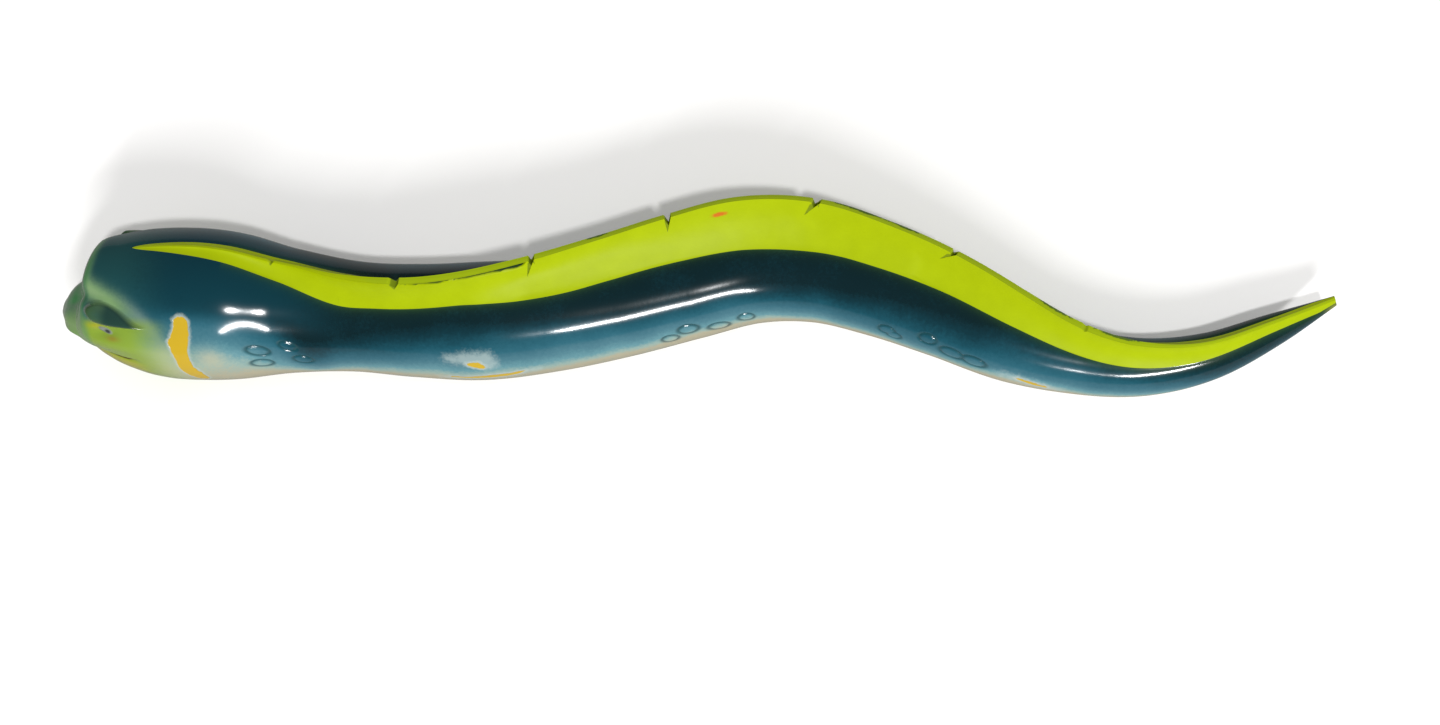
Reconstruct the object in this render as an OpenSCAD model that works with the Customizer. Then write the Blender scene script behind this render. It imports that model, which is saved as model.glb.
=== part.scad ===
// Bendable moray eel figure. It rests on its belly on the plane z = 0, its head
// towards -X and its tail towards +X. The origin is under the middle of the
// trunk, on the table. All lengths are in millimetres and all angles in degrees.

/* [Lengths along the body] */
// Head, from the snout to the first bend
head_len = 39; // [34:0.5:46]
// Nape, from the first bend to the second
nape_len = 19.5; // [18:0.5:24]
// Fore trunk
fore_trunk_len = 21; // [18:0.5:26]
// Upper trunk
upper_trunk_len = 20.5; // [18:0.5:26]
// Middle of the trunk, which the origin lies under
mid_trunk_len = 19; // [17:0.5:24]
// Lower trunk
lower_trunk_len = 18.5; // [16.5:0.5:24]
// Rear trunk, up to the last bend
rear_trunk_len = 20.5; // [17:0.5:25]
// Tail, from the last bend to the tip
tail_len = 35; // [30:0.5:44]

/* [Girth] */
// Radius of the head at the cheeks
head_r = 11.4; // [10.5:0.1:13]
// Radius at the first bend
nape_r = 9.5; // [8.8:0.1:10.5]
// Radius of the narrow neck
neck_r = 8.4; // [7.8:0.1:9]
// Radius of the swelling behind the neck
chest_r = 8.9; // [8:0.1:9.8]
// Radius under the highest part of the fin
trunk_r = 7; // [6.2:0.1:7.8]
// Radius near the end of the trunk
rear_r = 5.6; // [5:0.1:6.4]
// Radius at the last bend
tail_r = 4.75; // [4.2:0.05:5.4]
// Radius of the rounded tail tip
tip_r = 0.7; // [0.5:0.05:1]

/* [Posture] */
// Sideways sway of the swimming wave, from the middle line to a crest
sway = 6.9; // [4:0.1:9]
// How far the tail tip is held off the table
tail_lift = 6; // [2:0.5:10]
// Depth by which the belly of each length is flattened where it rests
belly_flat = 0.4; // [0.3:0.05:0.5]

/* [Fin] */
// Height of the fin above the back at its highest
fin_h = 7; // [5:0.1:8.5]
// Width of the flat crest
fin_crest_w = 1.1; // [0.8:0.05:1.6]
// Half of the fin's width where it leaves the back
fin_foot = 2.3; // [1.8:0.05:2.8]
// Depth of the fin's root below the back
fin_root = 0.6; // [0.4:0.05:1]

/* [Bends] */
// Gap between the round end of one length and the hollow of the next
bend_gap = 0.3; // [0.25:0.01:0.4]
// Wall left at the rim of a hollow
rim_wall = 0.15; // [0.1:0.01:0.25]
// Most that the first bend turns to either side
neck_turn = 18; // [12:1:20]
// Most that the last bend turns to either side
tail_turn = 30; // [20:1:32]

/* [Armature wire] */
// Diameter of the wire
wire_d = 1.6; // [1.2:0.1:2]
// Radius of the eye at each end of the wire, to the wire's middle
eye_r = 1.4; // [1.2:0.1:1.6]
// Room round the wire in the moulding
wire_fit = 0.02; // [0.01:0.01:0.05]
// Moulding left over the end of a wire
wire_cover = 2; // [1.5:0.1:3]

/* [Hidden] */

// Places along the body are counted in stations: 0 is the snout, 1 to 7 are the
// bends and 8 is the tail tip. Each bend lies under a nick in the fin.
bend_4 = -mid_trunk_len / 2;
bend_5 = mid_trunk_len / 2;
station_x = [bend_4 - upper_trunk_len - fore_trunk_len - nape_len - head_len,
             bend_4 - upper_trunk_len - fore_trunk_len - nape_len,
             bend_4 - upper_trunk_len - fore_trunk_len,
             bend_4 - upper_trunk_len,
             bend_4,
             bend_5,
             bend_5 + lower_trunk_len,
             bend_5 + lower_trunk_len + rear_trunk_len,
             bend_5 + lower_trunk_len + rear_trunk_len + tail_len];
last_bend = 7;

function place(s) = let (i = min(floor(s), last_bend))
    station_x[i] + (s - i) * (station_x[i + 1] - station_x[i]);
function along(keys) = [for (k = keys) [place(k[0]), k[1]]];

// Sway of the spine at some stations, as shares of the greatest sway. The middle
// of the trunk is the crest that the shares are counted from.
spine_y = along([for (k = [[0, -0.7], [0.1, -0.76], [0.2, -0.8], [0.3, -0.81], [0.7, -0.85], [1, -0.89], [1.5, -0.97],
                           [2, -1.08], [2.5, -1.11], [3, -0.95], [3.5, -0.68], [4, -0.32], [4.5, 0],
                           [5, -0.01], [5.5, -0.37], [6, -0.87], [6.5, -1.49], [7, -1.85],
                           [7.25, -1.95], [7.5, -1.74], [7.75, -1.22], [8, -0.62]]) [k[0], k[1] * sway]]);
// Radius of the body
girth = along([[0, 0.1 * head_r], [0.025, 0.25 * head_r], [0.08, 0.53 * head_r], [0.155, 0.75 * head_r],
               [0.23, 0.87 * head_r], [0.33, 0.94 * head_r], [0.46, 0.99 * head_r], [0.62, head_r],
               [0.8, 0.97 * head_r], [1, nape_r], [1.5, neck_r], [2, 1.02 * neck_r], [2.5, chest_r],
               [3, 0.955 * chest_r], [3.5, 0.89 * chest_r], [4, 1.06 * trunk_r], [4.5, trunk_r],
               [5, 0.97 * trunk_r], [5.5, 0.93 * trunk_r], [6, 1.1 * rear_r], [6.5, rear_r], [7, tail_r],
               [7.25, 0.87 * tail_r], [7.5, 0.72 * tail_r], [7.75, 0.5 * tail_r], [8, tip_r]]);
// Lean of the back and its fin away from the vertical, towards +Y
lean = along([[0, 25], [0.7, 25], [1, 20], [1.5, 9], [2, 6], [2.5, 10], [3, 19], [3.5, 28], [4, 31],
              [4.5, 32], [5, 33], [5.5, 34], [6, 35], [6.5, 31], [7, 18], [7.25, 8], [7.5, 1], [8, 0]]);
// Height of the fin above the back, as shares of its greatest height
fin_start = 0.44;
fin_rise = along([[fin_start, 0.01], [0.5, 0.03], [0.7, 0.13], [1, 0.28], [1.5, 0.45], [2, 0.55], [2.5, 0.61], [3, 0.64],
                  [3.5, 0.73], [4, 0.9], [4.5, 1], [5, 0.96], [5.5, 0.86], [6, 0.75], [6.5, 0.63],
                  [7, 0.47], [7.4, 0.33], [7.8, 0.16], [8, 0.02]]);
// Height of the throat over the table, from the snout back
throat = along([[0, 6], [0.025, 4.8], [0.08, 2.9], [0.18, 1.8], [0.3, 0.8], [0.5, 0.1], [1, 0], [8, 0]]);

// A smooth curve through keys of the form [place, value]
function key_slope(keys, i) = let (a = max(i - 1, 0), b = min(i + 1, len(keys) - 1))
    (keys[b][1] - keys[a][1]) / (keys[b][0] - keys[a][0]);
function key_index(keys, x, i = 0) =
    (i >= len(keys) - 2 || x < keys[i + 1][0]) ? i : key_index(keys, x, i + 1);
function curve(keys, x) =
    let (i = key_index(keys, x), span = keys[i + 1][0] - keys[i][0], t = (x - keys[i][0]) / span)
    (2 * t * t * t - 3 * t * t + 1) * keys[i][1] + (t * t * t - 2 * t * t + t) * span * key_slope(keys, i)
    + (3 * t * t - 2 * t * t * t) * keys[i + 1][1] + (t * t * t - t * t) * span * key_slope(keys, i + 1);

// How high the belly runs: it just clears the table at a bend, sinks by
// belly_flat between two bends, and the tail rises from the last bend on
bend_rise = 0.1;
function belly(x) =
    let (i = min(max(key_index([for (v = station_x) [v, 0]], x), 0), last_bend),
         t = (x - station_x[i]) / (station_x[i + 1] - station_x[i]),
         rest = bend_rise - (belly_flat + bend_rise) * min(1, 1.6 * pow(sin(180 * t), 2)))
    i == last_bend ? bend_rise + tail_lift * t * t : i == 0 ? curve(throat, x) + rest * t : rest;

function radius(x) = curve(girth, x);
function middle(x) = [x, curve(spine_y, x), radius(x) + belly(x)];
function heading(x) = let (d = (curve(spine_y, x + 0.1) - curve(spine_y, x - 0.1)) / 0.2)
    [1, d, 0] / norm([1, d, 0]);
function across(t) = [-t[1], t[0], 0];
function bend_point(i) = middle(station_x[i]);
function turn(i) = neck_turn + (tail_turn - neck_turn) * (i - 1) / (last_bend - 1);
function rim_back(r) = sqrt(pow(r + bend_gap, 2) - pow(r - rim_wall, 2));

// A ring is [centre, heading, radius]; its points run round from straight up,
// over +Y, and none lies below the table
around = 24;
full_turn = 360;
function ring_point(ring, a, r) =
    let (p = ring[0] + r * (cos(a) * [0, 0, 1] + sin(a) * across(ring[1]))) [p[0], p[1], max(p[2], 0)];
function round_ring(ring) = [for (k = [0:around - 1]) ring_point(ring, full_turn * k / around, ring[2])];

// The closed skin through a list of rings of equal length. Its ends are one flat
// face each, or the given faces of the first ring.
module skin(rings, end = []) {
    n = len(rings[0]);
    m = len(rings);
    cap = len(end) > 0 ? end : [[for (k = [0:n - 1]) k]];
    polyhedron(
        points = [for (ring = rings) each ring],
        faces = concat(
            cap,
            [for (j = [0:m - 2]) for (k = [0:n - 1]) let (a = j * n + k, b = j * n + (k + 1) % n)
                each [[a, a + n, b], [b, a + n, b + n]]],
            [for (face = cap) [for (k = [len(face) - 1:-1:0]) (m - 1) * n + face[k]]]));
}

// Round front end of a length, turning about the middle of its bend
dome_steps = [72, 54, 36, 18];
function dome(i) = let (h = bend_point(i), t = heading(station_x[i]), r = h[2] - belly(station_x[i]))
    [for (a = dome_steps) [h - r * sin(a) * t, t, r * cos(a)]];
// Hollow rear end of a length, which the next one's round end turns in. Its flat
// bottom lies past the whole sphere, so that the round end clears it in a turn.
hollow_steps = 5;
hollow_end = 81;
function hollow(i) = let (h = bend_point(i), t = heading(station_x[i]), r = radius(station_x[i]),
        wide = r + bend_gap, first = asin(rim_back(r) / wide))
    [for (k = [0:hollow_steps]) let (a = first + (hollow_end - first) * k / hollow_steps)
        [h - wide * sin(a) * t, t, wide * cos(a)]];
function rim_x(i) = station_x[i] - rim_back(radius(station_x[i])) * heading(station_x[i])[0];
ring_step = 3.4;
function tube(x0, x1) = let (m = ceil((x1 - x0) / ring_step))
    [for (j = [0:m]) let (x = x0 + (x1 - x0) * j / m) [middle(x), heading(x), radius(x)]];

// Relief of the head: a soft mound or dent centred at a distance behind the
// snout and at an angle from the crown, the same on both sides. Heights are
// shares of the head's radius and distances are shares of its length.
function mound(high, d, a, d0, a0, d_wide, a_wide) =
    high * exp(-pow((d - d0) / d_wide, 2) - pow((abs(a) - a0) / a_wide, 2));
function wrap(a) = a > 180 ? a - 360 : a < -180 ? a + 360 : a;
function face_relief(d, a) =
    mound(-0.36, d, a, 0.138, 0, 0.077, 60)     // top of the snout
    + mound(-0.097, d, a, 0.31, 41, 0.128, 9)   // valley between crown and brow
    + mound(0.1, d, a, 0.323, 58, 0.082, 8)     // brow
    + mound(-0.035, d, a, 0.341, 71, 0.055, 5)  // eye hollow
    + mound(0.05, d, a, 0.385, 83, 0.15, 9)     // under the eye
    + mound(-0.05, d, a, 0.308, 93, 0.12, 6)    // mouth
    + mound(-0.13, d, a, 0.128, 130, 0.13, 38)  // under the jaw
    + mound(0.048, d, a, 0.64, 100, 0.18, 26);  // cheek
// The relief comes in behind the snout and fades out before the first bend
relief_in = 0.05;
relief_out = 0.2;
head_around = 40;
function head_ring(x) =
    let (ring = [middle(x), heading(x), radius(x)], d = (x - station_x[0]) / head_len,
         share = min(1, (1 - d) / relief_out) * min(1, d / relief_in))
    [for (k = [0:head_around - 1]) let (a = full_turn * k / head_around)
        ring_point(ring, a, ring[2] + share * head_r * face_relief(d, wrap(a - curve(lean, x))))];
head_steps = [0, 0.01, 0.03, 0.06, 0.1, 0.14, 0.18, 0.22, 0.26, 0.31, 0.36, 0.42, 0.5, 0.6, 0.7, 0.8, 0.9];
function head_round(ring) = [for (k = [0:head_around - 1]) ring_point(ring, full_turn * k / head_around, ring[2])];

// One length of the body between bend i and bend i + 1
module body_length(i) {
    skin([for (ring = concat(dome(i), tube(station_x[i], rim_x(i + 1)), hollow(i + 1))) round_ring(ring)]);
}

// Armature wire of length i: it runs straight from the round end to the hollow
function wire_start(i) = i == 0 ? middle(place(0.4)) :
    bend_point(i) - (radius(station_x[i]) - wire_cover) * heading(station_x[i]);
function wire_end(i) = i == last_bend ? middle(place(7.5)) :
    bend_point(i + 1) - (radius(station_x[i + 1]) + bend_gap + wire_cover) * heading(station_x[i + 1]);
module along_wire(p, q) {
    d = q - p;
    translate(p) rotate([0, acos(d[2] / norm(d)), atan2(d[1], d[0])]) children();
}
module wire(i, room = 0) {
    p = wire_start(i);
    q = wire_end(i);
    along_wire(p, q) cylinder(h = norm(q - p), d = wire_d + 2 * room, $fn = 32);
    if (i == 0) along_wire(p, q) translate([0, 0, -eye_r]) wire_eye(room);
    if (i == last_bend) along_wire(p, q) translate([0, 0, norm(q - p) + eye_r]) wire_eye(room);
}
module wire_eye(room) {
    rotate([0, 90, 0]) rotate_extrude($fn = 48) translate([eye_r, 0]) circle(d = wire_d + 2 * room, $fn = 24);
}

// Fin of length i, from nick to nick. Its section is a wedge with hollow sides,
// and its ends slope back from the bend so that two fins never meet in a turn.
// Over the round end of the next length its underside stays at the height over.
fin_clear = 0.05;
foot_full_h = 0.8;
function fin_section(x, over) =
    let (r = radius(x), h = fin_h * curve(fin_rise, x),
         a = asin(min(0.7, fin_foot * min(1, h / foot_full_h + 0.1) / r)),
         foot = r * sin(a), half = min(fin_crest_w / 2, foot * 0.8), waist = half + 0.3 * (foot - half),
         low = max((r - fin_root) * cos(a), over))
    [[foot, low], [waist, r + 0.4 * h], [half, r + h], [-half, r + h], [-waist, r + 0.4 * h], [-foot, low]];
function fin_ring(x, over, front, rear) =
    let (t = heading(x), s = across(t), b = curve(lean, x))
    [for (p = fin_section(x, over))
        let (y = p[1] * sin(b) + p[0] * cos(b), z = p[1] * cos(b) - p[0] * sin(b))
        middle(x) + y * s + z * [0, 0, 1]
            + (front * (bend_gap / 2 + abs(y) * front_slope(x)) - rear * (bend_gap / 2 + abs(y) * rear_slope(x))) * t];
function length_at(x) = min(max(key_index([for (v = station_x) [v, 0]], x), 0), last_bend);
function front_slope(x) = let (i = length_at(x)) i == 0 ? 0 : tan(turn(i) / 2);
function rear_slope(x) = let (i = length_at(x - 0.01)) i == last_bend ? 0 : tan(turn(i + 1) / 2);
fin_steps = 6;
module fin(i) {
    x0 = i == 0 ? place(fin_start) : station_x[i];
    x1 = i == last_bend ? place(7.97) : station_x[i + 1];
    r = radius(x1);
    back = rim_back(r);
    x_free = i == last_bend ? x1 : x1 - 1.7 * back;
    over = i == last_bend ? [] : [1, 0.5, 0];
    span = x1 - x0;
    rings = concat(
        [for (k = [0:fin_steps]) x0 + (x_free - x0) * k / fin_steps],
        [for (k = over) x1 - k * back]);
    skin([for (x = rings) let (d = x1 - x, t = (x - x0) / span,
                               under = i == last_bend || d > r ? 0 : sqrt(pow(r + bend_gap, 2) - d * d) + fin_clear)
        fin_ring(x, under, i == 0 ? 0 : 1 - t, i == last_bend ? 0 : t)],
        end = [[0, 1, 4], [0, 4, 5], [1, 2, 3], [1, 3, 4]]);
}

module moulded(i) {
    difference() {
        body_length(i);
        wire(i, wire_fit);
    }
}
module head() {
    color("#1f5568") difference() {
        skin(concat(
            [for (s = head_steps) head_ring(place(s))],
            [for (ring = concat([[middle(rim_x(1)), heading(station_x[1]), radius(rim_x(1))]], hollow(1)))
                head_round(ring)]));
        wire(0, wire_fit);
    }
}
module tail() {
    color("#1f5568") difference() {
        skin([for (ring = concat(dome(last_bend), tube(station_x[last_bend], station_x[last_bend + 1])))
            round_ring(ring)]);
        wire(last_bend, wire_fit);
    }
}
module nape() { color("#1f5568") moulded(1); }
module fore_trunk() { color("#1a4a5c") moulded(2); }
module upper_trunk() { color("#1f5568") moulded(3); }
module mid_trunk() { color("#1a4a5c") moulded(4); }
module lower_trunk() { color("#1f5568") moulded(5); }
module rear_trunk() { color("#1a4a5c") moulded(6); }
module head_fin() { color("#c8e010") fin(0); }
module nape_fin() { color("#c8e010") fin(1); }
module fore_trunk_fin() { color("#c8e010") fin(2); }
module upper_trunk_fin() { color("#c8e010") fin(3); }
module mid_trunk_fin() { color("#c8e010") fin(4); }
module lower_trunk_fin() { color("#c8e010") fin(5); }
module rear_trunk_fin() { color("#c8e010") fin(6); }
module tail_fin() { color("#c8e010") fin(last_bend); }
module head_wire() { color("#b8bcc0") wire(0); }
module nape_wire() { color("#b8bcc0") wire(1); }
module fore_trunk_wire() { color("#b8bcc0") wire(2); }
module upper_trunk_wire() { color("#b8bcc0") wire(3); }
module mid_trunk_wire() { color("#b8bcc0") wire(4); }
module lower_trunk_wire() { color("#b8bcc0") wire(5); }
module rear_trunk_wire() { color("#b8bcc0") wire(6); }
module tail_wire() { color("#b8bcc0") wire(last_bend); }

head();
nape();
fore_trunk();
upper_trunk();
mid_trunk();
lower_trunk();
rear_trunk();
tail();
head_fin();
nape_fin();
fore_trunk_fin();
upper_trunk_fin();
mid_trunk_fin();
lower_trunk_fin();
rear_trunk_fin();
tail_fin();
head_wire();
nape_wire();
fore_trunk_wire();
upper_trunk_wire();
mid_trunk_wire();
lower_trunk_wire();
rear_trunk_wire();
tail_wire();
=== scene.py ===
"""Looks of the bendable moray eel figure, built round its jointed frame.

The real figure is one soft vinyl moulding, so its skin is computed here as one
surface, in millimetres, and then cut between the bends into pieces that each
span one joint. The fin is cut the same way, along the line where its paint begins.
"""

import bpy
import numpy as np

from mathutils import Matrix, Quaternion, Vector


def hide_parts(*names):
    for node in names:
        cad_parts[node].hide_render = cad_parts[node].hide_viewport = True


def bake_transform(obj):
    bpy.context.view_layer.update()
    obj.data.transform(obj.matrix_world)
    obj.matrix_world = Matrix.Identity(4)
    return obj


MM = 0.001
LINKS = ["head", "nape", "fore_trunk", "upper_trunk", "mid_trunk", "lower_trunk", "rear_trunk", "tail"]

# Sizes of the part's source, in millimetres: station 0 is the snout, 1 to 7 are
# the bends and 8 is the tail tip; x = 0 lies in the middle of mid_trunk.
LENGTHS = np.array([39, 19.5, 21, 20.5, 19, 18.5, 20.5, 35])
STATION_X = np.concatenate([[0], np.cumsum(LENGTHS)]) - LENGTHS[:4].sum() - LENGTHS[4] / 2
HEAD_R, NAPE_R, NECK_R, CHEST_R, TRUNK_R, REAR_R, TAIL_R, TIP_R = 11.4, 9.5, 8.4, 8.9, 7.0, 5.6, 4.75, 0.7
SWAY, TAIL_LIFT, BELLY_SINK = 6.9, 6.0, 0.15
FIN_H, FIN_CREST, FIN_FOOT = 7.0, 1.1, 2.3
FAR = 9.0   # a distance beyond the reach of every mark


def place(station):
    """x of a station along the body."""
    return np.interp(station, np.arange(9), STATION_X)


def station_of(x):
    """Station of a place x along the body."""
    return np.interp(x, STATION_X, np.arange(9))


def curve(kx, kv, x):
    """Smooth curve through the values kv at kx: cubic pieces whose slope at each key is
    that of the line between its two neighbours."""
    slope = np.gradient(kv, kx)
    slope[1:-1] = (kv[2:] - kv[:-2]) / (kx[2:] - kx[:-2])
    i = np.clip(np.searchsorted(kx, x, side="right") - 1, 0, len(kx) - 2)
    h = kx[i + 1] - kx[i]
    t = np.clip((x - kx[i]) / h, 0, 1)
    return ((2 * t**3 - 3 * t**2 + 1) * kv[i] + (t**3 - 2 * t**2 + t) * h * slope[i]
            + (3 * t**2 - 2 * t**3) * kv[i + 1] + (t**3 - t**2) * h * slope[i + 1])


def keyed(keys, x):
    """Smooth curve through keys of [station, value]."""
    return curve(place(keys[:, 0]), keys[:, 1], x)


def keys(*pairs):
    """Pairs of station and value as an array."""
    return np.array(pairs, float).reshape(-1, 2)


# Sway of the spine by station, as shares of SWAY, counted from the middle of the trunk
SPINE_Y = keys(0, -0.7, 0.1, -0.76, 0.2, -0.8, 0.3, -0.81, 0.7, -0.85, 1, -0.89, 1.5, -0.97, 2, -1.08,
               2.5, -1.11, 3, -0.95, 3.5, -0.68, 4, -0.32, 4.5, 0, 5, -0.01, 5.5, -0.37, 6, -0.87,
               6.5, -1.49, 7, -1.85, 7.25, -1.95, 7.5, -1.74, 7.75, -1.22, 8, -0.62)
# Radius of the body
GIRTH = keys(0, 0.1 * HEAD_R, 0.025, 0.25 * HEAD_R, 0.08, 0.53 * HEAD_R, 0.155, 0.75 * HEAD_R,
             0.23, 0.87 * HEAD_R, 0.33, 0.94 * HEAD_R, 0.46, 0.99 * HEAD_R, 0.62, HEAD_R,
             0.8, 0.97 * HEAD_R, 1, NAPE_R, 1.5, NECK_R, 2, 1.02 * NECK_R, 2.5, CHEST_R,
             3, 0.955 * CHEST_R, 3.5, 0.89 * CHEST_R, 4, 1.06 * TRUNK_R, 4.5, TRUNK_R,
             5, 0.97 * TRUNK_R, 5.5, 0.93 * TRUNK_R, 6, 1.1 * REAR_R, 6.5, REAR_R, 7, TAIL_R,
             7.25, 0.87 * TAIL_R, 7.5, 0.72 * TAIL_R, 7.75, 0.5 * TAIL_R, 8, TIP_R)
# Lean of the back and its fin away from the vertical, in degrees, towards +y
LEAN = keys(0, 25, 0.7, 25, 1, 20, 1.5, 9, 2, 6, 2.5, 10, 3, 19, 3.5, 28, 4, 31, 4.5, 32, 5, 33,
            5.5, 34, 6, 35, 6.5, 31, 7, 18, 7.25, 8, 7.5, 1, 8, 0)
FIN_START = 0.43
# Height of the fin above the back, as shares of FIN_H
FIN_RISE = keys(FIN_START, 0, 0.5, 0.02, 0.7, 0.08, 1, 0.22, 1.35, 0.45, 1.6, 0.55, 1.85, 0.59,
                2.2, 0.6, 2.5, 0.61, 3, 0.64, 3.5, 0.73, 4, 0.9, 4.5, 1, 5, 0.96, 5.5, 0.86,
                6, 0.75, 6.5, 0.63, 7, 0.47, 7.4, 0.31, 7.8, 0.1, 8, 0)
# Height of the throat over the table
THROAT = keys(0, 6, 0.025, 4.8, 0.08, 2.9, 0.18, 1.8, 0.3, 0.8, 0.5, 0.1, 1, 0, 8, 0)
NOSE_LEN = 1.0
SLOPE_STEP = 0.1   # half the length over which the spine's slope is taken


def smooth(low, high, v):
    """0 below low, 1 above high, and an S curve between."""
    t = np.clip((v - low) / (high - low), 0, 1)
    return t * t * (3 - 2 * t)


def bell(v, middle, wide):
    """1 at the middle and near 0 twice that width away."""
    return np.exp(-((v - middle) / wide) ** 2)


def radius(x):
    """Radius of the body. In the last millimetre of the snout it falls with the square
    root of the distance, so that the nose closes round."""
    d = x - STATION_X[0]
    nose = keyed(GIRTH, STATION_X[0] + NOSE_LEN) * np.sqrt(np.clip(d, 0, None) / NOSE_LEN)
    return np.where(d < NOSE_LEN, nose, keyed(GIRTH, x))


def frame_at(x):
    """Middle of the body, its level heading and its level left-to-right direction, at x.
    The belly lies on the table, the throat rises to the snout and the tail to its tip."""
    last = np.clip((x - STATION_X[7]) / LENGTHS[7], 0, 1)
    sink = BELLY_SINK * smooth(0.4, 1, station_of(x)) * (1 - smooth(0, 0.3, last))
    low = keyed(THROAT, x) + TAIL_LIFT * last**2 - sink
    mid = np.stack([x, SWAY * keyed(SPINE_Y, x), keyed(GIRTH, x) + low], -1)
    rise = keyed(SPINE_Y, x + SLOPE_STEP) - keyed(SPINE_Y, x - SLOPE_STEP)
    slope = SWAY * rise / (2 * SLOPE_STEP)
    ahead = np.stack([np.ones_like(x), slope, 0 * x], -1) / np.hypot(1, slope)[:, None]
    side = np.stack([-ahead[:, 1], ahead[:, 0], 0 * x], -1)
    return mid, ahead, side


# Half width of the fin's painted foot by station, as shares of FIN_FOOT
FOOT = keys(FIN_START, 0, 0.45, 0.14, 0.5, 0.3, 0.7, 0.66, 1, 0.95, 1.5, 1.2, 1.8, 1.05, 2.4, 1,
            2.6, 1.15, 2.86, 1.4, 3.2, 1.5, 3.5, 1.35, 3.8, 1.12, 4.1, 1, 4.4, 1.02, 4.9, 1.15,
            5.3, 1.05, 6, 1, 7, 1, 7.2, 0.95, 7.4, 0.78, 7.6, 0.56, 7.8, 0.42, 8, 0.35)
# The nicks cut into the crest at the bends: how far each lies behind its bend, its
# depth, its half width at the crest and how far it slants towards the head for each
# millimetre of depth, and how far along the body and down the fin that slant reaches
NICKS = np.array([[-0.7, 0.5, 0.5, 0.2], [0, 1.3, 0.85, 0.2], [0, 2.6, 0.45, 0.5], [0, 2.2, 0.5, 0.3],
                  [0, 2.2, 0.5, 0.8], [0, 1.5, 0.4, 1.2], [0, 0.35, 0.5, 0.5]])
SLANT_ALONG, SLANT_DOWN = 4, 2.5
NICK_FRONT, NICK_REAR = 1.2, 0.8   # shares of the half width on the two sides of a nick
# The open slit under the near corner of the crest: its ends and its width by station,
# its depth, how far it lies below the crest and the width under which it is closed
SLIT_FROM, SLIT_TO = 2.04, 2.965
SLIT = keys(SLIT_FROM, 0, 2.1, 0.3, 2.35, 0.5, 2.4, 0.15, 2.46, 0.45, 2.7, 0.5, 2.9, 0.75, 2.94, 0.6,
            SLIT_TO, 0)
SLIT_DEPTH, SLIT_BELOW, SLIT_LEAST = 0.8, 0.1, 0.03
# Where the crest's far edge is rubbed dark: middle and half length
SCUFFS = [(14.5, 3.2), (21, 2), (43.7, 2.4), (53.2, 2.9), (-20, 1.5)]


def foot_angle(x):
    """Angle from the crown to the fin's foot, from the foot's half width and the radius.
    It is 0 in front of the fin."""
    wide = np.maximum(FIN_FOOT * keyed(FOOT, x), 0.03) * (x > place(FIN_START))
    return np.arcsin(np.clip(wide / np.maximum(radius(x), 0.05), 0, 0.7))


def nick_depth(x):
    """Depth of the notches in the crest: each is a V, steeper on its tail side."""
    away = x[:, None] - (STATION_X[1:8] + NICKS[:, 0])
    wide = NICKS[:, 2] * np.where(away > 0, NICK_REAR, NICK_FRONT)
    return (NICKS[:, 1] * np.clip(1 - np.abs(away) / wide, 0, 1)).max(1)


def slit_width(x):
    """Width of the slit, 0 beyond its ends."""
    inside = (x > place(SLIT_FROM)) & (x < place(SLIT_TO))
    return (np.maximum(keyed(SLIT, x), 0) * inside)[:, None]


def along(d, *pairs):
    """Smooth curve through pairs of distance behind the snout and value."""
    return curve(np.array(pairs[::2], float), np.array(pairs[1::2], float), d)


def brow_place(d, a):
    """Square of the distance from the middle of the brow, a teardrop that tapers backwards,
    as a share of its size."""
    middle = along(d, 0, 50, 9, 51, 11.2, 53, 13.3, 55, 15.7, 58.7, 17.7, 63, 19.5, 66, 39, 80)
    long = np.where(d < 13, (13 - d) / 2.8, (d - 13) / 6.8)
    wide = along(d, 0, 8, 9, 8, 13.3, 9, 15.7, 7.5, 17.7, 4.5, 19.5, 2.2, 39, 2)
    return long**2 + ((a - middle) / wide) ** 2


def mouth_line(d):
    """Angle from the crown at which the mouth lies."""
    return along(d, 0, 90, 6, 95, 11.7, 99.5, 15, 101, 17.6, 99, 20, 99, 39, 120)


def eye_place(d, a):
    """Place on the eye in millimetres: along it, from front to rear, and across it."""
    ahead, down = d - 13.5, (a - 69) * 0.175
    return 0.94 * ahead + 0.34 * down, 0.94 * down - 0.34 * ahead


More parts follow.
